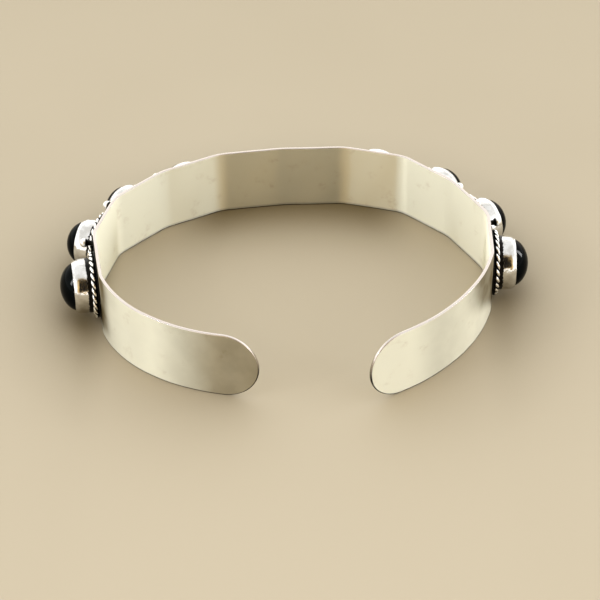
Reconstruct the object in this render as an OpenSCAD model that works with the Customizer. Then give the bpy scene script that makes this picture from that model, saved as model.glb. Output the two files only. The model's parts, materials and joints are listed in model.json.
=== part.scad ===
// Open cuff bangle: a flat strip bent into ten short flats and two curved arms with round ends.
// Each flat carries a round setting on its outside: a base plate, a ring of wire, a bezel and a domed stone.
// The bangle lies on its side with its gap towards -Y, and stands on the lower edge of the strip.

/* [Strip] */
// Width of the strip, which is the bangle's height as it lies
strip_w = 11; // [10.8:0.1:13]
// Thickness of the strip
strip_t = 0.5; // [0.5:0.05:0.9]
// Inside radius of the bends beside the flats
bend_r = 3; // [2:0.5:4]

/* [Setting] */
// Height of the centres of the settings above the strip's lower edge
setting_z = 5.2; // [5.15:0.05:5.5]
// Radius of the round base plate
plate_r = 5.05; // [4.8:0.05:5.15]
// Thickness of the base plate
plate_t = 0.25; // [0.2:0.05:0.4]
// Radius of the ring's wire
wire_r = 0.46; // [0.4:0.02:0.5]
// Outside radius of the bezel
bezel_r = 4.1; // [3.8:0.05:4.15]
// Thickness of the bezel's wall
bezel_wall = 0.3; // [0.25:0.05:0.35]
// Height of a plain bezel's rim above the strip
rim_h = 3.7; // [3.5:0.1:4]
// How far below its rim a bezel starts to close over the stone
closing_h = 0.9; // [0.7:0.1:1.2]
// How far the rim is pushed in over the stone
rim_in = 0.3; // [0.24:0.02:0.34]

/* [Stone] */
// Height of a plain stone's top above the strip
stone_h = 5.7; // [5.4:0.1:6.2]
// Space between a stone and its bezel
stone_gap = 0.05; // [0.03:0.01:0.08]

/* [Granules] */
// Radius of the small balls between the settings
granule_r = 0.7; // [0.55:0.05:0.8]
// Height of a ball's centre above the strip
granule_out = 1.5; // [1.2:0.1:1.9]
// Radius of the short post that carries a ball
post_r = 0.4; // [0.3:0.05:0.45]
// Height of a ball above or below the centres of the settings
granule_rise = 3.7; // [3.6:0.1:4.1]

/* [Hidden] */

// Depth that soldered pieces sink into what carries them
seat = 0.1;
// Space between the ring of wire and the bezel
crevice = 0.08;
round_fn = 96;
wire_fn = 32;

// Length of the straight piece that ends in a half circle
end_l = strip_w / 2 + 0.5;
// Columns of the table of stretches
LENGTH = 0; // along the inner face, a flat's from corner to corner
CURVE = 1; // degrees that the stretch curves through
BEND = 2; // degrees of the bend after it
// Stretches of the strip, from its left end to its right end
stretches = [
    [end_l, 0, 0],
    [11.1, 23.3, 0],
    [12.1, 33.1, 12.4],
    [11, 0, 25.3],
    [9.5, 0, 28.4],
    [9.8, 0, 17.5],
    [10.1, 0, 19.4],
    [9.9, 0, 7],
    [10.2, 0, 17.5],
    [9.7, 0, 27.5],
    [9.9, 0, 17.1],
    [10.1, 0, 29.6],
    [10.1, 0, 14.5],
    [8.7, 16.8, 0],
    [14.8, 26.8, 0],
    [end_l, 0, 0],
];
last = len(stretches) - 1;
// Number of the first flat in the table, which carries the first setting
first_flat = 3;
// Heading of the strip at its left end, turned from +X
start_heading = 168;

// Columns of the table of settings, in millimetres more or less than the plain ones
RIM = 0; // height of the bezel's rim above the strip
TOP = 1; // height of the stone's top above the strip
WIDE = 2; // radius of the bezel
LIFT = 3; // height of the bezel's centre above the lower edge of the strip
// Settings from the left arm to the right arm, each filed and set by hand, the two at the back the lowest
by_hand = [
    [0, 0, 0, 0],
    [0.2, 0.4, -0.3, -0.3],
    [0.2, 0.4, -0.25, -0.25],
    [-0.5, -0.3, 0, 0],
    [-0.9, -0.7, 0, 0],
    [-0.9, -0.7, 0, 0],
    [-0.1, -0.3, 0, 0],
    [0.4, 0.8, -0.2, -0.15],
    [0.2, 0.4, -0.2, -0.2],
    [0, 0.1, 0, 0],
];
settings = len(by_hand);

// Radius of the inner face where a length of strip curves through some degrees
function curve_r(length, turn) = length * 180 / (PI * turn);

// Length of a flat that belongs to the bend at its start or its end
function trim(k, bend) = stretches[k][CURVE] > 0 ? 0 : bend_r * tan(bend / 2);
function trim_start(k) = k == 0 ? 0 : trim(k, stretches[k - 1][BEND]);
function trim_end(k) = trim(k, stretches[k][BEND]);
function net_length(k) = stretches[k][LENGTH] - trim_start(k) - trim_end(k);

// A place is [x, y, heading] on the inner face, and these give the place at the far end of a piece
function after_straight(p, length) = [p.x + length * cos(p.z), p.y + length * sin(p.z), p.z];
function after_curve(p, r, turn) = [
    p.x + r * (sin(p.z) - sin(p.z - turn)),
    p.y - r * (cos(p.z) - cos(p.z - turn)),
    p.z - turn
];
function after_stretch(p, k) =
    stretches[k][CURVE] == 0
        ? after_straight(p, net_length(k))
        : after_curve(p, curve_r(net_length(k), stretches[k][CURVE]), stretches[k][CURVE]);
function after_bend(p, k) = after_curve(p, bend_r, stretches[k][BEND]);

// Place where each stretch starts, and the place of the right end
starts = [
    for (k = 0, p = [0, 0, start_heading]; k <= last; p = after_bend(after_stretch(p, k), k), k = k + 1) p
];
right_end = after_stretch(starts[last], last);

// Places along the strip: the ends of its straight pieces, and every few degrees of its curves and bends
step = 3;
function along_curve(p, r, turn) =
    let (n = ceil(turn / step))
    [for (j = [0 : n - 1]) after_curve(p, r, turn * j / n)];
function along_stretch(k) =
    stretches[k][CURVE] == 0
        ? [starts[k]]
        : along_curve(starts[k], curve_r(net_length(k), stretches[k][CURVE]), stretches[k][CURVE]);
function along_bend(k) =
    stretches[k][BEND] == 0 ? [] : along_curve(after_stretch(starts[k], k), bend_r, stretches[k][BEND]);
places = concat([for (k = [0 : last]) each concat(along_stretch(k), along_bend(k))], [right_end]);

// Place of a setting, which is the middle of its flat
function setting_place(i) =
    let (k = first_flat + i)
    after_straight(starts[k], stretches[k][LENGTH] / 2 - trim_start(k));
// Place of the middle of the bend after a flat
function corner_place(i) =
    let (k = first_flat + i)
    after_curve(after_stretch(starts[k], k), bend_r, stretches[k][BEND] / 2);

// Heights above the strip: a bezel's rim, and the shoulder where bezel and stone start to close
function rim(i) = rim_h + by_hand[i][RIM];
function shoulder(i) = rim(i) - closing_h;
// Outer radius of a bezel
function wall_r(i) = bezel_r + by_hand[i][WIDE];

// Stone: its side is straight up to the shoulder, and its dome is half of an ellipse
stone_base = plate_t + stone_gap;
function stone_r(i) = wall_r(i) - bezel_wall - stone_gap;
function dome_h(i) = stone_h + by_hand[i][TOP] - shoulder(i);
function dome_r(i, z) = stone_r(i) * sqrt(1 - pow((z - shoulder(i)) / dome_h(i), 2));

// Ring of wire: radius and height of the wire's middle
ring_r = bezel_r + crevice + wire_r;
ring_z = plate_t + wire_r - seat / 2;

// Centre of the plan, from how far the domes and the two ends reach
function dome_reach(i, way) =
    let (p = setting_place(i))
    let (out = cos(p.z) * way.y - sin(p.z) * way.x)
    let (along = cos(p.z) * way.x + sin(p.z) * way.y)
    p.x * way.x + p.y * way.y + (strip_t + shoulder(i)) * out + norm([dome_h(i) * out, stone_r(i) * along]);
function reach(way) = max([for (i = [0 : settings - 1]) dome_reach(i, way)]);
function end_front(p) = p.y + strip_t * min(0, cos(p.z));
middle = [
    (reach([1, 0]) - reach([-1, 0])) / 2,
    (reach([0, 1]) + min(end_front(starts[0]), end_front(right_end))) / 2
];

// Puts its children at a place, with X along the strip and Y outwards
module at(p) {
    translate([p.x - middle.x, p.y - middle.y, 0])
        rotate(p.z)
            children();
}

// Puts its children on the outside of a flat, with Z outwards
module on_flat(i, lift = 0) {
    at(setting_place(i))
        translate([0, strip_t, setting_z + lift])
            rotate([-90, 0, 0])
                children();
}

// Cuts a strip that ends at X = 0 to a half circle
module end_cut() {
    beyond = 1;
    translate([-strip_w / 2, 0, strip_w / 2])
        difference() {
            translate([0, -beyond, -strip_w / 2 - beyond])
                cube([strip_w / 2 + beyond, strip_t + 2 * beyond, strip_w + 2 * beyond]);
            translate([0, 2 * beyond, 0])
                rotate([90, 0, 0])
                    cylinder(h = 4 * beyond, r = strip_w / 2, $fn = round_fn);
        }
}

module strip() {
    inner = [for (p = places) [p.x - middle.x, p.y - middle.y]];
    outer = [for (p = places) [p.x - middle.x - strip_t * sin(p.z), p.y - middle.y + strip_t * cos(p.z)]];
    color("silver")
        difference() {
            linear_extrude(strip_w)
                polygon(concat(inner, [for (i = [len(outer) - 1 : -1 : 0]) outer[i]]));
            at(places[0])
                mirror([1, 0, 0])
                    end_cut();
            at(places[len(places) - 1])
                end_cut();
        }
}

module base_plate() {
    color("dimgray")
        translate([0, 0, -seat])
            cylinder(h = plate_t + seat, r = plate_r, $fn = round_fn);
}

module wire_ring() {
    color("gray")
        translate([0, 0, ring_z])
            rotate_extrude($fn = round_fn)
                translate([ring_r, 0])
                    circle(r = wire_r, $fn = wire_fn);
}

// Wall round the stone, which closes over the stone's shoulder at its rim
module bezel(i) {
    function rise(u) = shoulder(i) + u * closing_h;
    outside = [for (u = [0 : 0.25 : 1]) [wall_r(i) - rim_in * u * u, rise(u)]];
    inside = [for (u = [1 : -0.25 : 0]) [dome_r(i, rise(u)) + stone_gap, rise(u)]];
    foot = plate_t - seat;
    color("silver")
        rotate_extrude($fn = round_fn)
            polygon(concat([[wall_r(i), foot]], outside, inside, [[stone_r(i) + stone_gap, foot]]));
}

// Ball on a short post that stands out of the strip
module granule() {
    translate([0, 0, granule_out])
        sphere(r = granule_r, $fn = wire_fn);
    translate([0, 0, -seat])
        cylinder(h = granule_out + seat, r = post_r, $fn = wire_fn);
}

module granules() {
    color("gainsboro")
        for (i = [0 : settings - 2])
            for (side = [-1, 1])
                at(corner_place(i))
                    translate([0, strip_t, setting_z + side * granule_rise])
                        rotate([-90, 0, 0])
                            granule();
}

// All the silver is soldered into one piece
module silver_cuff() {
    strip();
    for (i = [0 : settings - 1]) {
        on_flat(i) {
            base_plate();
            wire_ring();
        }
        on_flat(i, by_hand[i][LIFT])
            bezel(i);
    }
    granules();
}

module stone(i) {
    dome = [for (a = [0 : 7.5 : 90]) [stone_r(i) * cos(a), shoulder(i) + dome_h(i) * sin(a)]];
    color("darkslategray")
        on_flat(i, by_hand[i][LIFT])
            rotate_extrude($fn = round_fn)
                polygon(concat([[0, stone_base], [stone_r(i), stone_base]], dome));
}

silver_cuff();
for (i = [1 : settings])
    stone(i - 1);
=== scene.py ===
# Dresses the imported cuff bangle: softened strip, bezels, rings of twisted wire, granules and domed stones.
import json
import math

import bmesh
import bpy
from mathutils import Matrix, Vector

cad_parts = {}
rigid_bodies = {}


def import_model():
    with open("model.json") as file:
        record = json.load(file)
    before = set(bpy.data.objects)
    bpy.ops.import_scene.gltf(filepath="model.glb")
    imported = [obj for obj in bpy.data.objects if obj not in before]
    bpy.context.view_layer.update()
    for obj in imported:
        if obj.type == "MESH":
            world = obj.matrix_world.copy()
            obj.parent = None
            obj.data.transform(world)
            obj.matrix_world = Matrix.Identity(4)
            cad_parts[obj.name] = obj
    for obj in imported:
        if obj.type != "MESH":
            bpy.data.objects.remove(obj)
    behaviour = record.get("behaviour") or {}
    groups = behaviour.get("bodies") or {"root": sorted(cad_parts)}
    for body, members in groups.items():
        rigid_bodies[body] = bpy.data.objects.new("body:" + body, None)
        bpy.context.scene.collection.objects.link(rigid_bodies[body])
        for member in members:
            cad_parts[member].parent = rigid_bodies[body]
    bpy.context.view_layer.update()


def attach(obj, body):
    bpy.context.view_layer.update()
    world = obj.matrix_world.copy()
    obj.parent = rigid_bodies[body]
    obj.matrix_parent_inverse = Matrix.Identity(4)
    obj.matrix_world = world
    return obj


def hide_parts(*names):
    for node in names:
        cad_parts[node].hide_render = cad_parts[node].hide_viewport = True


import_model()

# Sizes in millimetres, the same as in the CAD source
MM = 0.001  # metres in a millimetre
STRIP_W, STRIP_T = 11.0, 0.5  # width and thickness of the strip
BEND_R = 3.0  # radius inside the bends next to the arms
SETTING_Z = 5.2  # height of the settings' centres above the strip's lower edge
PLATE_R, PLATE_T = 5.05, 0.25  # radius and thickness of a base plate
WIRE_R = 0.46  # radius of the twisted wire
BEZEL_R, BEZEL_WALL = 4.1, 0.3  # outer radius and thickness of a bezel
RIM_H = 3.7  # height of a bezel's rim above the strip
CLOSING_H, RIM_IN = 0.9, 0.3  # height over which a bezel closes in at its rim, and how far it does
STONE_H = 5.7  # height of a stone's top above the strip
SOLID_GAP = 0.05  # gap round a stone in the solids
GRANULE_R = 0.7  # radius of a ball
GRANULE_RISE = 3.7  # height of a ball above or below the settings' centres
GRANULE_OUT = 1.5  # height of a ball's centre above the strip
POST_R = 0.4  # radius of a ball's post
SEAT = 0.1  # depth that soldered pieces sink into what carries them
CREVICE = 0.08  # space between the ring of wire and the bezel
END_L = STRIP_W / 2 + 0.5  # length of the straight piece that ends in a half circle
START_HEADING = 168  # heading of the strip at its left end, in degrees
FIRST_FLAT = 3  # number of the stretch that carries the first setting, counted from 0
# Length along the inner face, degrees that it curves through, degrees of the bend after it
STRETCHES = [
    (END_L, 0, 0),
    (11.1, 23.3, 0),
    (12.1, 33.1, 12.4),
    (11, 0, 25.3),
    (9.5, 0, 28.4),
    (9.8, 0, 17.5),
    (10.1, 0, 19.4),
    (9.9, 0, 7),
    (10.2, 0, 17.5),
    (9.7, 0, 27.5),
    (9.9, 0, 17.1),
    (10.1, 0, 29.6),
    (10.1, 0, 14.5),
    (8.7, 16.8, 0),
    (14.8, 26.8, 0),
    (END_L, 0, 0),
]
# What each setting has more or less than the plain one: height of its rim, height of its stone's top,
# radius of its bezel, height of its bezel's centre above the lower edge of the strip
BY_HAND = [
    (0, 0, 0, 0),
    (0.2, 0.4, -0.3, -0.3),
    (0.2, 0.4, -0.25, -0.25),
    (-0.5, -0.3, 0, 0),
    (-0.9, -0.7, 0, 0),
    (-0.9, -0.7, 0, 0),
    (-0.1, -0.3, 0, 0),
    (0.4, 0.8, -0.2, -0.15),
    (0.2, 0.4, -0.2, -0.2),
    (0, 0.1, 0, 0),
]
SETTINGS = len(BY_HAND)

# Detail that the solids leave out, in millimetres
EDGE_R = 0.14  # rounding of the strip's edges
EDGE_SUPPORT = 0.06  # flat margin beside that rounding
BEND_L = 2.6  # length that a bend between two flats is softened over
WAVE = 0.014  # height of the strip's hand-worked waviness
# Its waves: share of that height, radians in a millimetre along and up the strip, radians at the start
STRIP_WAVES = [(1.0, 0.55, 0.21, 0.0), (0.7, 0.93, -0.52, 1.3), (0.5, 0.31, 1.05, 4.1)]
PLATE_EDGE = 0.1  # rounding of a base plate's edge
TURNS = 13  # full turns of each strand round a ring
STRAND_OFF, STRAND_R = 0.215, 0.245  # strand's centre from the wire's centre, and its radius
LIP = 0.1  # thickness of the bezel's burnished lip
BARREL = 0.05  # how far the bezel's wall bulges
# Waves of a bezel's wall: height, number of waves round it, how many times the bezel's phase they start at
WALL_WAVES = [(0.012, 3, 1.0), (0.006, 7, 2.3)]
LIP_WAVE, LIP_WAVES = 0.012, 11  # height of the waves of a bezel's lip, and their number
PHASE_STEP = 1.7  # radians that waves and twist shift by from one setting to the next
STONE_GAP = 0.02  # gap that shows round a stone
STONE_BEVEL = 0.12  # bevel at the foot of a stone
STONE_SIDE = 0.3  # how far below its shoulder the upper points of a stone's side are
FLARE = 0.3  # radius of the solder at the foot of a ball's post

# How finely the pieces are divided
FINE, COARSE = 0.2, 0.55  # widest spacing of the strip's columns in its short bends, and elsewhere
ROWS, CAP = 26, 13  # rows across the strip, and columns of each round end
EDGE_STEPS = 4  # steps of a rounded edge
ROUND, BEZEL_ROUND, BALL_ROUND = 96, 128, 28  # steps round plates and stones, bezels, and balls
WALL_STEPS, CLOSING_STEPS = 8, 6  # steps up a bezel's wall, and up the part that closes in
LIP_STEPS, INNER_STEPS = 5, 4  # steps round a bezel's lip, and down inside it to the shoulder
DOME_STEPS, BALL_STEPS = 22, 14  # steps from the foot to the top of a dome and of a ball
STRAND_STEPS, STRAND_SIDES = 14, 12  # steps along one turn of a strand, and round it
UV_SCALE = 0.1  # units of the strip's UV map in a millimetre
TINY = 1e-6

# Blackening and painted shade, from 0 to 1. A pair gives the two distances that it fades between, in
# millimetres.
UNDER_SHADE, UNDER_SHADE_FADE = 0.75, (0.08, 0.3)  # painted shadow inside the strip where it meets the floor, upwards from its lower edge
BEYOND_FADE = (0.1, 0.6)  # outside, away from the first and the last ring
MARGIN_FADE = (0.02, 0.2)  # outside, inwards from the strip's edges
FACING_UP = (-0.2, 0.45)  # painted shade on the strip's rim where it faces down, by how it faces, from -1 for down to 1 for up
BLACK_FOOT, FOOT_SOFT = 1.7, 0.3  # height of the blackening on a bezel, and how softly it ends
POST_BLACK = 0.6  # a ball's blackening fades from this share of its radius below its middle up to there

# Painted shade on the outside of the strip, standing in for the dark things that it mirrors, from 0 to 1. A
# pair gives the two distances that it fades between.
PAINTED_SHADE_MOST = 0.95
PAINTED_SHADE_MIDDLE = 0.5  # between the settings
SETTING_SHADOW = 0.65  # painted shadow of the settings beside the first and the last ring
SHADOW_UP, SHADOW_ALONG = (0.3, 3), (0.5, 4.5)  # up the strip, and away from the ring
# On the right arm it fades between two heights, given with what each rises by in a millimetre from the ring
RIGHT_SHADOW_UP, RIGHT_SHADOW_ALONG = ((0.6, 0.45), (2.4, 0.8)), (5, 13)
LEFT_ARM_SHADE, LEFT_TIP, LEFT_ROOT = 0.14, 0.4, 0.3  # on the whole left arm, and more at its tip and its root
LEFT_TIP_FADE, LEFT_ROOT_FADE = (2, 19), (21, 29)  # from the left end of the strip
RIGHT_ARM_SHADE, RIGHT_TIP_FADE = 0.28, (6, 13)  # on the right arm but for its tip, from the strip's right end

# Wear of the twisted wire. A pair gives the two values that it gets bright between.
RUB_SIDE, RUB_UP = 0.35, 0.94  # direction that is rubbed: outwards from the ring, and away from the strip
CREST, RUBBED = (0.55, 0.85), (-0.15, 0.35)  # share of the wire's radius, and of facing that direction

# Colours
SILVER = (0.95, 0.925, 0.77, 1)
TARNISH = (0.62, 0.52, 0.36, 1)
# colour of the painted shade on the outside of the strip
SILVER_IN_PAINTED_SHADE = (0.11, 0.075, 0.02, 1)
RUBBED_EDGE = (0.6, 0.545, 0.505, 1)
RUBBED_CREST = (0.95, 0.94, 0.91, 1)
BEZEL_SILVER, BEZEL_SHADE = (0.74, 0.74, 0.73, 1), (0.6, 0.59, 0.565, 1)
OXIDE, WORN_OXIDE = (0.012, 0.011, 0.01, 1), (0.3, 0.28, 0.25, 1)
STONE_DARK, STONE_VEIL = (0.0003, 0.0004, 0.0004, 1), (0.0008, 0.0012, 0.0012, 1)
FLOOR_NEAR, FLOOR_FAR = (0.515, 0.45, 0.333, 1), (0.43, 0.373, 0.267, 1)
FLOOR_SHADE = (0.12, 0.083, 0.022, 1)
TENT, TENT_OPENING, BEHIND_CAMERA = (1.0, 0.99, 0.965, 1), (0.5, 0.335, 0.13, 1), (0.01, 0.008, 0.006, 1)

# Floor, in millimetres
FLOOR_HALF = 900
FLOOR_DEPTH, FLOOR_CLOUD = (-90, 170), 12  # where its colour changes from front to back, with painted shade darkening it to the back, and how unevenly
LEFT_SHADE, RIGHT_SHADE, BACK_SHADE = (-33, -27), (27, 33), (24, 32)  # where the shade ends or starts
INNER_SHADE_DEPTH, INNER_SHADE_SIDE = (2, 20), (11, 21)  # inside the bangle, to the back and to the sides
SHADE_REACH = 18  # how far from the bangle it can lie

# Light. Azimuth 0 is towards the camera and more is to the right, and all angles are in degrees.
TENT_LOW, TENT_HIGH = (20, 2.1), (55, 1.2)  # height and strength of its brighter foot and of its top
SIDE_LIGHTS = [(-66, 30, 40.0), (104, 22, 25.0)]  # azimuth, height, strength
SIDE_LIGHT_R = (1.2, 2.8)  # where such a light starts to fade, and where it ends
# Openings: azimuth, where it starts to fade to its sides, where it ends, lowest and highest height
OPENING, CAMERA_SPOT = (5, 20, 50, 2, 66), (7, 11, 16, 6, 62)
LOW_SOFT, TOP_SOFT = 4, 6  # how softly an opening ends at its foot and at its top
WINDOWS = [("left", -66, 37, 7.0), ("right", 104, 27, 5.5)]  # name, azimuth, height, watts
WINDOW_W, WINDOW_H, WINDOW_FAR = 80, 240, 400  # in millimetres

# The camera that was fitted to the strip's edges in the photograph, in degrees and millimetres
PITCH, ROLL = 37.71, -0.405
FOCAL_PX, PHOTO_PX, SENSOR = 2150, 600, 36  # focal length and photograph in pixels, and width of the sensor
CAMERA_AT = (0.665, -265.537, 202.97)
CLIP = (0.01, 10)  # in metres

RING_R = BEZEL_R + CREVICE + WIRE_R
RING_Z = PLATE_T + WIRE_R - SEAT / 2


# The strip's path: a place is (x, y, heading in degrees) on its inner face
def travel(place, length, turn):
    """The place after a length of strip that curves through some degrees."""
    x, y, heading = place
    a = math.radians(heading)
    if turn == 0:
        return x + length * math.cos(a), y + length * math.sin(a), heading
    r = length / math.radians(turn)
    b = math.radians(heading - turn)
    return x + r * (math.sin(a) - math.sin(b)), y - r * (math.cos(a) - math.cos(b)), heading - turn


def bend_radius(k):
    """Radius of the bend after a stretch, which is softened between two flats."""
    beside_arm = STRETCHES[k][1] or STRETCHES[k + 1][1]
    return BEND_R if beside_arm else BEND_L / math.radians(STRETCHES[k][2])


def trim(k, bend_after):
    """Length of a flat that belongs to the bend at its start or its end."""
    turn, bend = STRETCHES[k][1], STRETCHES[bend_after][2]
    return 0 if turn or not bend else bend_radius(bend_after) * math.tan(math.radians(bend / 2))


def lay_out():
    """The strip's runs as (distance, length, turn, place), its settings, corners, length and right end."""
    runs, settings, corners = [], [], []
    place, s = (0, 0, START_HEADING), 0
    for k, (length, turn, bend) in enumerate(STRETCHES):
        before = trim(k, k - 1) if k else 0
        if 0 <= k - FIRST_FLAT < SETTINGS:
            settings.append((s + length / 2 - before, travel(place, length / 2 - before, 0)))
        net = length - before - trim(k, k)
        runs.append((s, net, turn, place))
        place, s = travel(place, net, turn), s + net
        if bend:
            arc_l = bend_radius(k) * math.radians(bend)
            if 0 <= k - FIRST_FLAT < SETTINGS - 1:
                corners.append(travel(place, arc_l / 2, bend / 2))
            runs.append((s, arc_l, bend, place))
            place, s = travel(place, arc_l, bend), s + arc_l
    return runs, settings, corners, s, place


RUNS, PLACES, CORNERS, STRIP_L, RIGHT_END = lay_out()
FIRST, LAST = PLACES[0][0], PLACES[-1][0]  # distances of the first and the last setting


def reach(wx, wy):
    """How far the domes reach in a direction."""
    best = []
    for (_, (x, y, heading)), (rim, top, wide, _) in zip(PLACES, BY_HAND):
        shoulder = RIM_H + rim - CLOSING_H
        stone_r = BEZEL_R + wide - BEZEL_WALL - SOLID_GAP
        a = math.radians(heading)
        out = math.cos(a) * wy - math.sin(a) * wx
        along = math.cos(a) * wx + math.sin(a) * wy
        dome = math.hypot((STONE_H + top - shoulder) * out, stone_r * along)
        best.append(x * wx + y * wy + (STRIP_T + shoulder) * out + dome)
    return max(best)


def end_front(place):
    """How far to the front an end of the strip comes."""
    return place[1] + STRIP_T * min(0, math.cos(math.radians(place[2])))


MIDDLE = (
    (reach(1, 0) - reach(-1, 0)) / 2,
    (reach(0, 1) + min(end_front((0, 0, START_HEADING)), end_front(RIGHT_END))) / 2,
)


def strip_point(s, z, out):
    """Point at a distance along the strip, a height, and a depth out of its inner face."""
    run = next((r for r in reversed(RUNS) if r[0] <= s), RUNS[0])
    share = (s - run[0]) / run[1]
    x, y, heading = travel(run[3], s - run[0], run[2] * share)
    a = math.radians(heading)
    return x - MIDDLE[0] - out * math.sin(a), y - MIDDLE[1] + out * math.cos(a), z


def flat_matrix(place, lift=0):
    """Frame on the outside of the strip, lifted along its width: X along the strip, Z outwards."""
    x, y, heading = place
    a = math.radians(heading)
    along, out = Vector((math.cos(a), math.sin(a), 0)), Vector((-math.sin(a), math.cos(a), 0))
    m = Matrix((along, out.cross(along), out)).transposed().to_4x4()
    m.translation = Vector((x - MIDDLE[0], y - MIDDLE[1], SETTING_Z + lift)) + out * STRIP_T
    return m


# Meshes
def make_piece(name, verts, faces, material, values=None, uvs=None):
    """A smooth piece from points in millimetres, with named values and a UV at each point where given."""
    mesh = bpy.data.meshes.new(name)
    mesh.from_pydata([Vector(v) * MM for v in verts], [], faces)
    for kind, numbers in (values or {}).items():
        layer = mesh.attributes.new(kind, "FLOAT", "POINT")
        layer.data.foreach_set("value", numbers)
    if uvs:
        layer = mesh.uv_layers.new(name="UVMap")
        for loop in mesh.loops:
            layer.data[loop.index].uv = uvs[loop.vertex_index]
    bm = bmesh.new()
    bm.from_mesh(mesh)
    bmesh.ops.recalc_face_normals(bm, faces=bm.faces)
    bm.to_mesh(mesh)
    bm.free()
    mesh.polygons.foreach_set("use_smooth", [True] * len(mesh.polygons))
    mesh.materials.append(material)
    piece = bpy.data.objects.new(name, mesh)
    bpy.context.scene.collection.objects.link(piece)
    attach(piece, "root")
    return piece


def placed(matrix, points):
    """Points moved by a matrix."""
    return [matrix @ Vector(p) for p in points]


def turned(profile, steps, closed=False, shape=None):
    """Points and faces of a profile of (radius, height), turned round Z. shape() may move a point."""
    verts, faces, rings = [], [], []
    for r, h in profile:
        start = len(verts)
        if r == 0:
            verts.append((0, 0, h))
            rings.append([start] * steps)
            continue
        for i in range(steps):
            a = 2 * math.pi * i / steps
            rr, hh = shape(a, r, h) if shape else (r, h)
            verts.append((rr * math.cos(a), rr * math.sin(a), hh))
        rings.append(list(range(start, start + steps)))
    pairs = list(zip(rings, rings[1:] + rings[:1]))
    for low, high in pairs if closed else pairs[:-1]:
        for i in range(steps):
            j = (i + 1) % steps
            corners = dict.fromkeys((low[i], low[j], high[j], high[i]))
            faces.append(tuple(corners))
    return verts, faces


def arc(cx, cy, r, start, end, steps):
    """Points on an arc, from one angle to another in degrees."""
    angles = [math.radians(start + (end - start) * i / steps) for i in range(steps + 1)]
    return [(cx + r * math.cos(a), cy + r * math.sin(a)) for a in angles]


def smoothstep(low, high, x):
    t = min(1, max(0, (x - low) / (high - low)))
    return t * t * (3 - 2 * t)


# Strip
def strip_columns():
    """Distances of the strip's columns, closer together in its bends."""
    half = STRIP_W / 2
    marks = {half, STRIP_L - half}
    for s, length, turn, _ in RUNS:
        gap = FINE if turn and length < 2 * BEND_R else COARSE
        n = max(1, math.ceil(length / gap))
        marks |= {s + length * i / n for i in range(n + 1)}
    inside = sorted(m for m in marks if half <= m <= STRIP_L - half)
    return [m for i, m in enumerate(inside) if i == 0 or m - inside[i - 1] > TINY]


def wave(s, z):
    """Hand-worked unevenness of the strip."""
    waves = [share * math.sin(along * s + up * z + start) for share, along, up, start in STRIP_WAVES]
    return WAVE * sum(waves)


def blackening_and_shade(s, z, out):
    """How black the strip is: oxide outside between the settings, and painted shadow inside along its lower
    edge.
    """
    if out < STRIP_T / 2:
        # painted shadow along the inner lower edge
        return UNDER_SHADE * (1 - smoothstep(*UNDER_SHADE_FADE, z))
    near = 1.0
    if not FIRST <= s <= LAST:
        nearest = min(math.hypot(s - c, z - SETTING_Z) for c, _ in PLACES)
        near = 1 - smoothstep(*BEYOND_FADE, nearest - RING_R - WIRE_R)
    return near * smoothstep(*MARGIN_FADE, min(z, STRIP_W - z))


def painted_reflection_shade(s, z, out):
    """How much painted shade the strip has outside: darker tones for the dark things that it mirrors, and
    painted shadows beside the first and the last ring.
    """
    if out < STRIP_T / 2:
        return 0
    away = max(0, min(abs(s - FIRST), abs(s - LAST)) - RING_R - WIRE_R)
    # painted shadow of a setting beside the first and the last ring
    patch = smoothstep(*SHADOW_UP, z) * (1 - smoothstep(*SHADOW_ALONG, away))
    if s < FIRST:
        tip, root = 1 - smoothstep(*LEFT_TIP_FADE, s), smoothstep(*LEFT_ROOT_FADE, s)
        wear_and_shade = LEFT_ARM_SHADE + LEFT_TIP * tip + LEFT_ROOT * root
    elif s > LAST:
        wear_and_shade = RIGHT_ARM_SHADE * smoothstep(*RIGHT_TIP_FADE, STRIP_L - s)
        low, high = (height + rise * away for height, rise in RIGHT_SHADOW_UP)
        patch = smoothstep(low, high, z) * (1 - smoothstep(*RIGHT_SHADOW_ALONG, away))
    else:
        wear_and_shade = PAINTED_SHADE_MIDDLE
    return min(PAINTED_SHADE_MOST, wear_and_shade + SETTING_SHADOW * patch)


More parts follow.
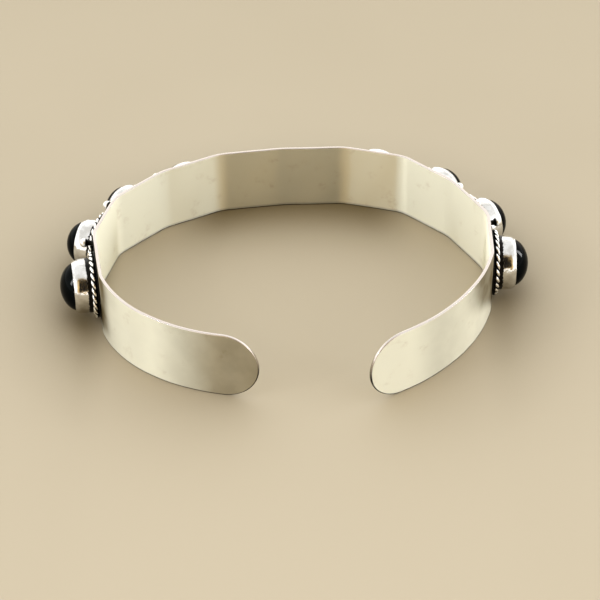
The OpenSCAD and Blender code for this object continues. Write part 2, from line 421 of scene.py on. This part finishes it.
def make_strip(material):
    """The strip: a grid on its inner face and one on its outer face, and a rounded rim between them."""
    half = STRIP_W / 2
    r = half - EDGE_R - EDGE_SUPPORT
    vs = [-1 + 2 * j / ROWS for j in range(ROWS + 1)]
    columns = [("left", -1 + i / CAP) for i in range(CAP)]
    columns += [("mid", s) for s in strip_columns()]
    columns += [("right", (i + 1) / CAP) for i in range(CAP)]

    def flat_point(column, v):
        kind, u = column
        if kind == "mid":
            return u, half + r * v
        centre = half if kind == "left" else STRIP_L - half
        return centre + r * u * math.sqrt(1 - v * v / 2), half + r * v * math.sqrt(1 - u * u / 2)

    grid = [[flat_point(c, v) for v in vs] for c in columns]
    n, m = len(columns) - 1, ROWS
    border = [(i, 0) for i in range(n)] + [(n, j) for j in range(m)]
    border += [(i, m) for i in range(n, 0, -1)] + [(0, j) for j in range(m, 0, -1)]

    verts, uvs = [], []
    values = {"wear_and_shade": [], "edge": [], "painted_shade": []}

    def add(s, z, out, edge=0.0, black=0.0):
        verts.append(strip_point(min(max(s, 0), STRIP_L), z, out + wave(s, z)))
        uvs.append((s * UV_SCALE, z * UV_SCALE))
        # black oxide outside, and painted shadow along the strip's lower edges
        values["wear_and_shade"].append(max(black, blackening_and_shade(s, z, out)))
        values["edge"].append(edge)
        values["painted_shade"].append(painted_reflection_shade(s, z, out))
        return len(verts) - 1

    sheets = [[[add(s, z, out) for s, z in column] for column in grid] for out in (0, STRIP_T)]
    faces = []
    for sheet in sheets:
        for i in range(n):
            for j in range(m):
                faces.append((sheet[i][j], sheet[i + 1][j], sheet[i + 1][j + 1], sheet[i][j + 1]))

    # The rim goes round the border: a flat margin, a rounding, the edge and the same again.
    # It is rubbed bright where it faces up, and has painted shade where it faces down.
    rim = [(EDGE_SUPPORT, 0)]
    rim += arc(EDGE_SUPPORT, EDGE_R, EDGE_R, -90, 0, EDGE_STEPS)[1:]
    rim += [(EDGE_SUPPORT + EDGE_R, STRIP_T / 2)]
    rim += arc(EDGE_SUPPORT, STRIP_T - EDGE_R, EDGE_R, 0, 90, EDGE_STEPS)[:-1]
    rim += [(EDGE_SUPPORT, STRIP_T)]

    def beyond(i, j, distance, out):
        s, z = grid[i][j]
        centre = min(max(s, half), STRIP_L - half)
        across = s - centre if abs(s - centre) > TINY else 0
        away = Vector((across, z - half))
        away.normalize()
        edge = smoothstep(EDGE_SUPPORT, EDGE_SUPPORT + EDGE_R / 2, distance)
        # painted shade on the rim where it faces down
        black = smoothstep(0, EDGE_SUPPORT, distance) * (1 - smoothstep(*FACING_UP, away.y))
        return add(s + away.x * distance, z + away.y * distance, out, edge, black)

    rings = [[sheets[0][i][j] for i, j in border]]
    rings += [[beyond(i, j, distance, out) for i, j in border] for distance, out in rim]
    rings += [[sheets[1][i][j] for i, j in border]]
    for low, high in zip(rings, rings[1:]):
        for k in range(len(border)):
            q = (k + 1) % len(border)
            faces.append((low[k], low[q], high[q], high[k]))
    strip = make_piece("strip", verts, faces, material, values, uvs)
    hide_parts("silver_cuff")


# Settings
def plate_profile():
    """A thin round plate with a rounded upper edge."""
    top = arc(PLATE_R - PLATE_EDGE, PLATE_T - PLATE_EDGE, PLATE_EDGE, 0, 90, EDGE_STEPS)
    return [(0, -SEAT), (PLATE_R, -SEAT)] + top + [(RING_R, PLATE_T), (0, PLATE_T)]


def bezel_profile(wall_r, shoulder, rim, top):
    """Closed outline of the wall: up the outside, over the lip and down the inside."""
    stone_r = wall_r - BEZEL_WALL - STONE_GAP
    foot = PLATE_T - SEAT
    lip_h = rim - LIP / 2

    def dome_r(z):
        return stone_r * math.sqrt(1 - ((z - shoulder) / (top - shoulder)) ** 2)

    outside = []
    for i in range(WALL_STEPS + 1):
        u = i / WALL_STEPS
        outside.append((wall_r + BARREL * 4 * u * (1 - u), foot + u * (shoulder - foot)))
    for i in range(1, CLOSING_STEPS + 1):
        u = i / CLOSING_STEPS
        outside.append((wall_r - RIM_IN * u * u, shoulder + u * (lip_h - shoulder)))
    lip = arc(outside[-1][0] - LIP / 2, lip_h, LIP / 2, 20, 180, LIP_STEPS)
    heights = [lip_h - i * (lip_h - shoulder) / INNER_STEPS for i in range(1, INNER_STEPS + 1)]
    inside = [(dome_r(h) + STONE_GAP, h) for h in heights]
    return outside + lip + inside + [(wall_r - BEZEL_WALL, foot)]


def bezel_shape(phase, shoulder, rim):
    """Small unevenness of a wall that was bent and burnished by hand."""

    def shape(a, r, h):
        uneven = sum(height * math.sin(number * a + share * phase) for height, number, share in WALL_WAVES)
        lip = LIP_WAVE * math.sin(LIP_WAVES * a + phase) * smoothstep(shoulder, rim, h)
        return r + uneven, h + lip

    return shape


def stone_profile(wall_r, shoulder, top):
    """A stone with a straight side and a domed top."""
    base = PLATE_T + SOLID_GAP
    r = wall_r - BEZEL_WALL - STONE_GAP
    side = [(0, base), (r - STONE_BEVEL, base), (r, base + STONE_BEVEL), (r, shoulder - STONE_SIDE)]
    angles = [math.radians(90 * i / DOME_STEPS) for i in range(DOME_STEPS)]
    dome = [(r * math.cos(a), shoulder + (top - shoulder) * math.sin(a)) for a in angles]
    return side + dome + [(0, top)]


def wire_ring(phase):
    """Two strands twisted round each other along a circle, with how bright each point is rubbed."""
    around = TURNS * STRAND_STEPS
    verts, faces, values = [], [], []
    for strand in (0, math.pi):
        base = len(verts)
        for i in range(around):
            a = 2 * math.pi * i / around
            centre, radial, tangent = strand_frame(a, strand + phase)
            side = tangent.cross(radial).normalized()
            radial = side.cross(tangent).normalized()
            for k in range(STRAND_SIDES):
                b = 2 * math.pi * k / STRAND_SIDES
                point = centre + STRAND_R * (math.cos(b) * radial + math.sin(b) * side)
                verts.append(point)
                values.append(rubbed_bright(point))
        for i in range(around):
            here, there = base + i * STRAND_SIDES, base + (i + 1) % around * STRAND_SIDES
            for k in range(STRAND_SIDES):
                k2 = (k + 1) % STRAND_SIDES
                faces.append((here + k, there + k, there + k2, here + k2))
    return verts, faces, values


def rubbed_bright(point):
    """How far a point of a twisted wire stands out, on the side that rubs: away from the strip."""
    away, up = math.hypot(point.x, point.y) - RING_R, point.z - RING_Z
    depth = max(TINY, math.hypot(away, up))
    rubbed = (RUB_SIDE * away + RUB_UP * up) / depth
    return smoothstep(*CREST, depth / WIRE_R) * smoothstep(*RUBBED, rubbed)


def strand_point(a, phase):
    b = TURNS * a + phase
    r = RING_R + STRAND_OFF * math.cos(b)
    return Vector((r * math.cos(a), r * math.sin(a), RING_Z + STRAND_OFF * math.sin(b)))


def strand_frame(a, phase):
    """A strand's centre, the direction out of the wire there, and its tangent."""
    small = 1e-3
    centre = strand_point(a, phase)
    tangent = (strand_point(a + small, phase) - strand_point(a - small, phase)).normalized()
    wire = Vector((RING_R * math.cos(a), RING_R * math.sin(a), RING_Z))
    return centre, (centre - wire).normalized(), tangent


def make_setting(number, place, by_hand, looks):
    """Base plate, bezel, ring of wire and stone on one flat."""
    rim, top, wide, lift = by_hand
    seat, bezel_seat = flat_matrix(place), flat_matrix(place, lift)
    phase = PHASE_STEP * number
    wall_r = BEZEL_R + wide
    rim, top = RIM_H + rim, STONE_H + top
    shoulder = rim - CLOSING_H

    points, quads = turned(plate_profile(), ROUND)
    make_piece(f"base_plate_{number}", placed(seat, points), quads, looks["plate"])

    profile = bezel_profile(wall_r, shoulder, rim, top)
    points, quads = turned(profile, BEZEL_ROUND, closed=True, shape=bezel_shape(phase, shoulder, rim))
    foot = {"wear_and_shade": [1 - smoothstep(BLACK_FOOT - FOOT_SOFT, BLACK_FOOT + FOOT_SOFT, p[2]) for p in points]}
    make_piece(f"bezel_{number}", placed(bezel_seat, points), quads, looks["bezel"], foot)

    points, quads, crest = wire_ring(phase)
    crest = {"wear_and_shade": crest}
    make_piece(f"wire_ring_{number}", placed(seat, points), quads, looks["wire"], crest)

    points, quads = turned(stone_profile(wall_r, shoulder, top), ROUND)
    dome = make_piece(f"dome_{number}", placed(bezel_seat, points), quads, looks["stone"])
    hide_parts(f"stone_{number}")


# Granules
def granule_profile():
    """A ball on a short post that flares into the strip with solder."""
    neck = math.degrees(math.acos(POST_R / GRANULE_R))
    ball = arc(0, GRANULE_OUT, GRANULE_R, -neck, 90, BALL_STEPS)[:-1]
    angles = (0, 0.4, 0.8, 1.2, math.pi / 2)
    flare = [(POST_R + FLARE * (1 - math.sin(a)), FLARE * (1 - math.cos(a))) for a in angles]
    return [(0, -SEAT), (POST_R + FLARE, -SEAT)] + flare + ball + [(0, GRANULE_OUT + GRANULE_R)]


def make_granules(material):
    """All the balls as one piece, with how black each point is towards its post."""
    verts, faces, posts = [], [], []
    points, quads = turned(granule_profile(), BALL_ROUND)
    black = [1 - smoothstep(GRANULE_OUT - POST_BLACK * GRANULE_R, GRANULE_OUT, p[2]) for p in points]
    for place in CORNERS:
        for side in (-1, 1):
            matrix = flat_matrix(place) @ Matrix.Translation((0, side * GRANULE_RISE, 0))
            base = len(verts)
            verts += placed(matrix, points)
            faces += [tuple(base + i for i in quad) for quad in quads]
            posts += black
    make_piece("granules", verts, faces, material, {"wear_and_shade": posts})


# Materials
class Tree:
    """Adds nodes to a material or world and links what it is given."""

    def __init__(self, owner):
        owner.use_nodes = True
        self.tree = owner.node_tree
        self.tree.nodes.clear()

    def node(self, kind, inputs=None, **props):
        n = self.tree.nodes.new(kind)
        for key, value in props.items():
            setattr(n, key, value)
        for key, value in (inputs or {}).items():
            if isinstance(value, bpy.types.NodeSocket):
                self.tree.links.new(value, n.inputs[key])
            else:
                n.inputs[key].default_value = value
        return n

    def add(self, kind, inputs=None, out=0, **props):
        return self.node(kind, inputs, **props).outputs[out]

    def shader(self, inputs):
        """Principled shader, connected to the material's output."""
        self.node("ShaderNodeOutputMaterial", {"Surface": self.add("ShaderNodeBsdfPrincipled", inputs)})

    def math(self, operation, a, b=0.0, clamp=False):
        return self.add("ShaderNodeMath", {0: a, 1: b}, operation=operation, use_clamp=clamp)

    def fit(self, value, low, high, to_low=0.0, to_high=1.0):
        """value taken from one range to another, and held inside it."""
        inputs = {"Value": value, "From Min": low, "From Max": high, "To Min": to_low, "To Max": to_high}
        return self.add("ShaderNodeMapRange", inputs, interpolation_type="SMOOTHSTEP")

    def spread(self, noise, to_low=0.0, to_high=1.0):
        """The range that noise mostly stays in, taken to another."""
        return self.fit(noise, 0.3, 0.7, to_low, to_high)

    def noise(self, where, scale, detail=2.0, rough=0.5):
        inputs = {"Vector": where, "Scale": scale, "Detail": detail, "Roughness": rough}
        return self.add("ShaderNodeTexNoise", inputs)

    def blend(self, share, a, b):
        return self.add("ShaderNodeMix", {0: share, 6: a, 7: b}, out=2, data_type="RGBA")

    def value(self, name):
        """A value that make_piece() gave to each point."""
        return self.add("ShaderNodeAttribute", attribute_name=name, out=2)

    def axes(self, vector):
        return self.node("ShaderNodeSeparateXYZ", {0: vector}).outputs

    def millimetres(self):
        """Object coordinates in millimetres."""
        where = self.add("ShaderNodeTexCoord", out=3)
        return self.scaled(where, (1000, 1000, 1000))

    def scaled(self, where, scale):
        return self.add("ShaderNodeMapping", {"Vector": where, "Scale": scale})

    def bump(self, height, distance_mm, strength):
        inputs = {"Height": height, "Distance": distance_mm * MM, "Strength": strength}
        return self.add("ShaderNodeBump", inputs)


def new_material(name):
    """A material, its nodes, and its coordinates in millimetres."""
    m = bpy.data.materials.new(name)
    t = Tree(m)
    return m, t, t.millimetres()


def strip_material():
    """Silver brushed along the strip, stained, with painted shade outside, bright on its rim, black outside
    and with painted shadow along its lower edges.
    """
    m, t, mm = new_material("polished_strip")
    uv = t.add("ShaderNodeUVMap", uv_map="UVMap")
    cloud = t.noise(mm, scale=0.12, detail=3)
    scratch = t.noise(t.scaled(uv, (5, 60, 1)), scale=1.0, detail=3, rough=0.6)
    stain = t.fit(t.noise(mm, scale=0.35, detail=4), 0.55, 0.75, 0, 0.35)
    stain = t.math("MULTIPLY", stain, t.spread(t.noise(mm, scale=1.6, detail=3)))
    patchy = t.fit(t.noise(mm, scale=1.1, detail=4), 0.3, 0.5, 0.8, 1.0)
    # black: oxide outside, and painted shadow along the strip's lower edges
    black = t.math("MULTIPLY", t.value("wear_and_shade"), patchy, clamp=True)
    edge = t.value("edge")
    painted_shade = t.math("MULTIPLY", t.value("painted_shade"), t.spread(t.noise(mm, scale=0.3), 0.9, 1.06))
    colour = t.blend(stain, SILVER, TARNISH)
    # painted shade on the outside of the strip
    colour = t.blend(painted_shade, colour, SILVER_IN_PAINTED_SHADE)
    colour = t.blend(edge, colour, RUBBED_EDGE)
    colour = t.blend(black, colour, OXIDE)
    smoother = t.math("MULTIPLY", edge, 0.36)
    t.shader(
        {
            "Base Color": colour,
            "Metallic": 1.0,
            "Roughness": t.math("SUBTRACT", t.spread(cloud, 0.59, 0.65), smoother),
            "Anisotropic": t.math("SUBTRACT", 1.0, edge),
            "Anisotropic Rotation": 0.25,
            "Tangent": t.add("ShaderNodeTangent", direction_type="UV_MAP", uv_map="UVMap"),
            "Normal": t.bump(scratch, distance_mm=0.004, strength=0.3),
        }
    )
    return m


def bezel_material():
    """Burnished silver that is black at its foot."""
    m, t, mm = new_material("burnished_bezel")
    marks = t.noise(mm, scale=0.9, detail=3)
    ragged = t.spread(t.noise(mm, scale=2.6, detail=4), -0.22, 0.22)
    black = t.fit(t.math("ADD", t.value("wear_and_shade"), ragged), 0.42, 0.58)
    colour = t.blend(t.fit(marks, 0.35, 0.65), BEZEL_SILVER, BEZEL_SHADE)
    t.shader(
        {
            "Base Color": t.blend(black, colour, OXIDE),
            "Metallic": 1.0,
            "Roughness": t.math("ADD", t.spread(marks, 0.1, 0.17), t.math("MULTIPLY", black, 0.3)),
            "Normal": t.bump(marks, distance_mm=0.12, strength=0.6),
        }
    )
    return m


def wire_material():
    """Blackened silver that is rubbed bright on its crests."""
    m, t, mm = new_material("oxidised_wire")
    patch = t.spread(t.noise(mm, scale=1.3, detail=3), -0.12, 0.12)
    crest = t.fit(t.math("ADD", t.value("wear_and_shade"), patch), 0.3, 0.65)
    t.shader(
        {
            "Base Color": t.blend(crest, OXIDE, RUBBED_CREST),
            "Metallic": 1.0,
            "Roughness": t.fit(crest, 0, 1, 0.45, 0.2),
            "Normal": t.bump(t.noise(mm, scale=5.0, detail=3), distance_mm=0.02, strength=0.4),
        }
    )
    return m


def plate_material():
    """Blackened silver with a few worn spots."""
    m, t, mm = new_material("oxidised_plate")
    cloud = t.noise(mm, scale=1.4, detail=4)
    t.shader(
        {
            "Base Color": t.blend(t.fit(cloud, 0.66, 0.82, 0, 0.25), OXIDE, WORN_OXIDE),
            "Metallic": 1.0,
            "Roughness": t.spread(cloud, 0.4, 0.55),
            "Normal": t.bump(t.noise(mm, scale=6.0, detail=3), distance_mm=0.02, strength=0.5),
        }
    )
    return m


def granule_material():
    """Polished silver balls with a little tarnish, on black posts."""
    m, t, mm = new_material("polished_granule")
    cloud = t.noise(mm, scale=1.8, detail=3)
    colour = t.blend(t.fit(cloud, 0.6, 0.8, 0, 0.3), RUBBED_CREST, TARNISH)
    t.shader(
        {
            "Base Color": t.blend(t.fit(t.value("wear_and_shade"), 0.2, 0.8), colour, OXIDE),
            "Metallic": 1.0,
            "Roughness": t.spread(cloud, 0.3, 0.4),
            "Normal": t.bump(t.noise(mm, scale=4.0, detail=3), distance_mm=0.02, strength=0.4),
        }
    )
    return m


def stone_material():
    """Polished black stone with a faint veil."""
    m, t, mm = new_material("black_stone")
    veil = t.noise(mm, scale=0.45, detail=4)
    fine = t.noise(mm, scale=5.0, detail=3)
    t.shader(
        {
            "Base Color": t.blend(t.fit(veil, 0.4, 0.75), STONE_DARK, STONE_VEIL),
            "Roughness": t.spread(fine, 0.06, 0.09),
            "IOR": 1.08,
            "Normal": t.bump(fine, distance_mm=0.002, strength=0.3),
        }
    )
    return m


def floor_material():
    """A pale floor with soft shade beside and behind the bangle, and in the back half of its inside."""
    m, t, mm = new_material("pale_floor")
    x, y, _ = t.axes(mm)
    cloud = t.spread(t.noise(mm, scale=0.02), -FLOOR_CLOUD, FLOOR_CLOUD)
    # painted shade: the floor is darker towards the back
    colour = t.blend(t.fit(t.math("ADD", y, cloud), *FLOOR_DEPTH), FLOOR_NEAR, FLOOR_FAR)
    inside = t.fit(t.math("ABSOLUTE", x), *INNER_SHADE_SIDE, 1, 0)
    inside = t.math("MULTIPLY", t.fit(y, *INNER_SHADE_DEPTH), inside)
    behind = t.math("MAXIMUM", inside, t.fit(y, *BACK_SHADE))
    beside = t.math("MAXIMUM", t.fit(x, *LEFT_SHADE, 1, 0), t.fit(x, *RIGHT_SHADE, 0, 0.75))
    open_to_sky = t.add("ShaderNodeAmbientOcclusion", {"Distance": SHADE_REACH * MM}, out=1)
    shade = t.math("MULTIPLY", t.fit(open_to_sky, 0.35, 1.05, 0.85, 0), t.math("MAXIMUM", beside, behind))
    t.shader(
        {
            "Base Color": t.blend(shade, colour, FLOOR_SHADE),
            "Roughness": 0.6,
            "Specular IOR Level": 0.3,
            "Normal": t.bump(t.noise(mm, scale=2.5), distance_mm=0.02, strength=0.4),
        }
    )
    return m


# Floor, light and camera
def make_floor():
    size = FLOOR_HALF * MM
    mesh = bpy.data.meshes.new("floor")
    corners = [(-size, -size, 0), (size, -size, 0), (size, size, 0), (-size, size, 0)]
    mesh.from_pydata(corners, [], [(0, 1, 2, 3)])
    mesh.materials.append(floor_material())
    floor = bpy.data.objects.new("floor", mesh)
    bpy.context.scene.collection.objects.link(floor)


def sine(degrees):
    return math.sin(math.radians(degrees))


def cosine(degrees):
    return math.cos(math.radians(degrees))


def direction(azimuth, height):
    """Unit vector at an azimuth and a height."""
    return Vector((sine(azimuth) * cosine(height), -cosine(azimuth) * cosine(height), sine(height)))


def make_world():
    """A pale tent with a small strong light at each side, and a dim opening with a dark middle in front."""
    world = bpy.data.worlds.new("studio")
    t = Tree(world)
    way = t.add("ShaderNodeTexCoord", out=0)
    x, y, z = t.axes(way)
    flat = t.math("SQRT", t.math("MAXIMUM", t.math("SUBTRACT", 1.0, t.math("MULTIPLY", z, z)), 0.0001))

    def lobe(azimuth, height, inner, outer):
        """1 within inner degrees of a direction, and 0 beyond outer degrees."""
        inputs = {0: way, 1: direction(azimuth, height)}
        near = t.add("ShaderNodeVectorMath", inputs, out=1, operation="DOT_PRODUCT")
        return t.fit(near, cosine(outer), cosine(inner))

    def gap(azimuth, inner, outer, low, top):
        """1 in an upright gap of the tent, and 0 outside its soft edges."""
        sideways, forwards = t.math("MULTIPLY", x, sine(azimuth)), t.math("MULTIPLY", y, sine(90 - azimuth))
        ahead = t.math("SUBTRACT", sideways, forwards)
        share = t.fit(t.math("DIVIDE", ahead, flat), sine(90 - outer), sine(90 - inner))
        share = t.math("MULTIPLY", share, t.fit(z, sine(low), sine(low + LOW_SOFT)))
        return t.math("MULTIPLY", share, t.fit(z, sine(top - TOP_SOFT), sine(top + TOP_SOFT), 1, 0))

    (low, strong), (high, weak) = TENT_LOW, TENT_HIGH
    light = t.fit(z, sine(low), sine(high), strong, weak)
    for azimuth, height, strength in SIDE_LIGHTS:
        spot = t.math("MULTIPLY", lobe(azimuth, height, *SIDE_LIGHT_R), strength)
        light = t.math("ADD", light, spot)
    colour = t.blend(gap(*OPENING), TENT, TENT_OPENING)
    colour = t.blend(gap(*CAMERA_SPOT), colour, BEHIND_CAMERA)
    background = t.add("ShaderNodeBackground", {"Color": colour, "Strength": light})
    t.node("ShaderNodeOutputWorld", {"Surface": background})
    bpy.context.scene.world = world


def make_windows():
    """A tall window at each side, seen only as the bright spots that the stones mirror."""
    stones = bpy.data.collections.new("stones")
    for piece in bpy.data.objects:
        if piece.name.startswith("dome_"):
            stones.objects.link(piece)
    for name, azimuth, height, watts in WINDOWS:
        data = bpy.data.lights.new(f"window_{name}", "AREA")
        data.shape = "RECTANGLE"
        data.size, data.size_y = WINDOW_W * MM, WINDOW_H * MM
        data.energy = watts
        window = bpy.data.objects.new(f"window_{name}", data)
        way = direction(azimuth, height)
        facing = way.to_track_quat("Z", "Y").to_matrix().to_4x4()
        window.matrix_world = Matrix.Translation(way * WINDOW_FAR * MM) @ facing
        window.light_linking.receiver_collection = stones
        bpy.context.scene.collection.objects.link(window)


def make_camera():
    across = Vector((1, 0, 0))
    up = Vector((0, sine(PITCH), cosine(PITCH)))
    ahead = Vector((0, cosine(PITCH), -sine(PITCH)))
    right = cosine(ROLL) * across + sine(ROLL) * up
    top = -sine(ROLL) * across + cosine(ROLL) * up
    data = bpy.data.cameras.new("camera")
    data.sensor_width = SENSOR
    data.lens = FOCAL_PX / PHOTO_PX * SENSOR
    data.clip_start, data.clip_end = CLIP
    camera = bpy.data.objects.new("camera", data)
    camera.matrix_world = Matrix((right, top, -ahead)).transposed().to_4x4()
    camera.location = Vector(CAMERA_AT) * MM
    bpy.context.scene.collection.objects.link(camera)
    bpy.context.scene.camera = camera


# The pieces
make_camera()
make_world()
make_floor()
make_strip(strip_material())
setting_looks = {
    "plate": plate_material(),
    "bezel": bezel_material(),
    "wire": wire_material(),
    "stone": stone_material(),
}
for number, ((_, place), by_hand) in enumerate(zip(PLACES, BY_HAND), 1):
    make_setting(number, place, by_hand, setting_looks)
make_granules(granule_material())
make_windows()

bpy.context.scene.view_settings.view_transform = "Standard"
